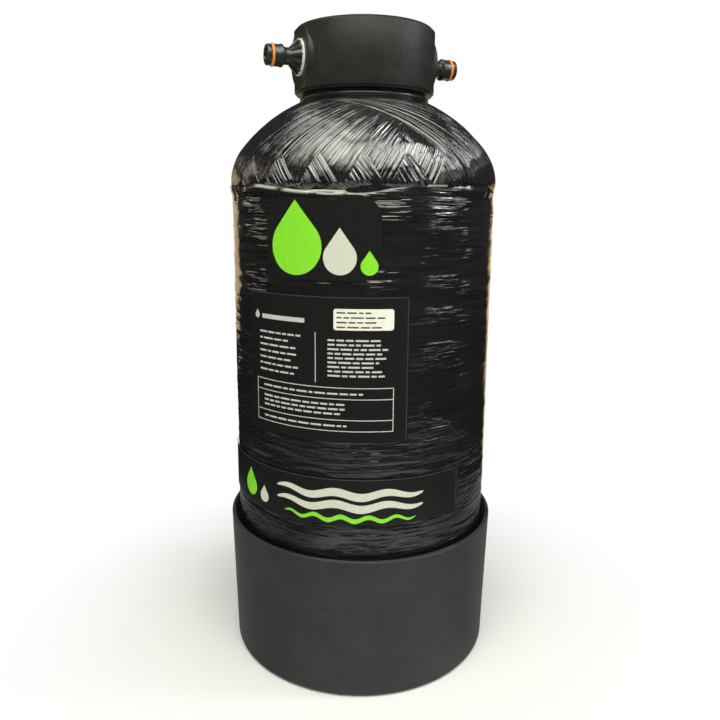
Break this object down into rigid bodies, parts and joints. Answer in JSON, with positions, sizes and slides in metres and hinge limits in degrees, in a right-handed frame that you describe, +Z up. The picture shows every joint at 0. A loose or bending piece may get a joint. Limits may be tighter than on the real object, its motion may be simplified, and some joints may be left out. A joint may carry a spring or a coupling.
{
  "type": "deionization resin vessel",
  "caption": "Portable upright resin vessel: wound pressure shell in a base cup, screw-in head with opposed hose spigots, inner liner, riser, strainers and resin bed.",
  "frame": {"origin": "centre of the base cup's underside", "axes": "+Z up along the vessel's axis; +X along the port axis, towards the outlet spigot"},
  "size_m": [0.2181, 0.2182, 0.4913],
  "materials": {
    "wound_resin": "gloss black resin over wound glass strands",
    "cup_plastic": "satin dark grey moulded plastic",
    "head_plastic": "fine-textured charcoal plastic",
    "connector_plastic": "semi-gloss dark grey-green plastic",
    "liner_plastic": "natural polyethylene",
    "inner_plastic": "white moulded plastic",
    "resin_beads": "packed amber resin beads",
    "seal_rubber": "matte black rubber",
    "hose_seal_rubber": "orange rubber",
    "thread_seal": "white seal ring",
    "label_film": "satin black printed film with green and pale grey motifs",
    "sticker_film": "cream paper sticker"
  },
  "bodies": {
    "vessel": {"base_cup": "cup_plastic", "wound_shell": "wound_resin", "inner_liner": "liner_plastic", "neck_insert": "connector_plastic", "bottom_strainer_basket": "inner_plastic", "bottom_strainer_hub": "inner_plastic", "riser_tube": "inner_plastic", "resin_bed": "resin_beads", "emblem_label": "label_film", "data_label": "label_film", "data_sticker": "sticker_film", "band_label": "label_film"},
    "neck_seal": {"neck_o_ring": "seal_rubber"},
    "head": {"head_body": "head_plastic", "riser_o_ring": "seal_rubber", "top_strainer": "inner_plastic", "inlet_connector": "connector_plastic", "inlet_thread_seal": "thread_seal", "inlet_connector_o_ring": "hose_seal_rubber", "outlet_connector": "connector_plastic", "outlet_thread_seal": "thread_seal", "outlet_connector_o_ring": "hose_seal_rubber"}
  },
  "joints": [
    {"name": "head_lift", "type": "slide", "parent": "vessel", "child": "neck_seal", "axis": [0, 0, 1], "range_m": [0, 0.0159]},
    {"name": "head_turn", "type": "hinge", "parent": "neck_seal", "child": "head", "pos_m": [0, 0, 0.4438], "axis": [0, 0, 1], "range_deg": [0, 1800]}
  ],
  "couplings": [
    {"joint": "head_lift", "follows": "head_turn", "m_per_rad": 0.00050532}
  ]
}
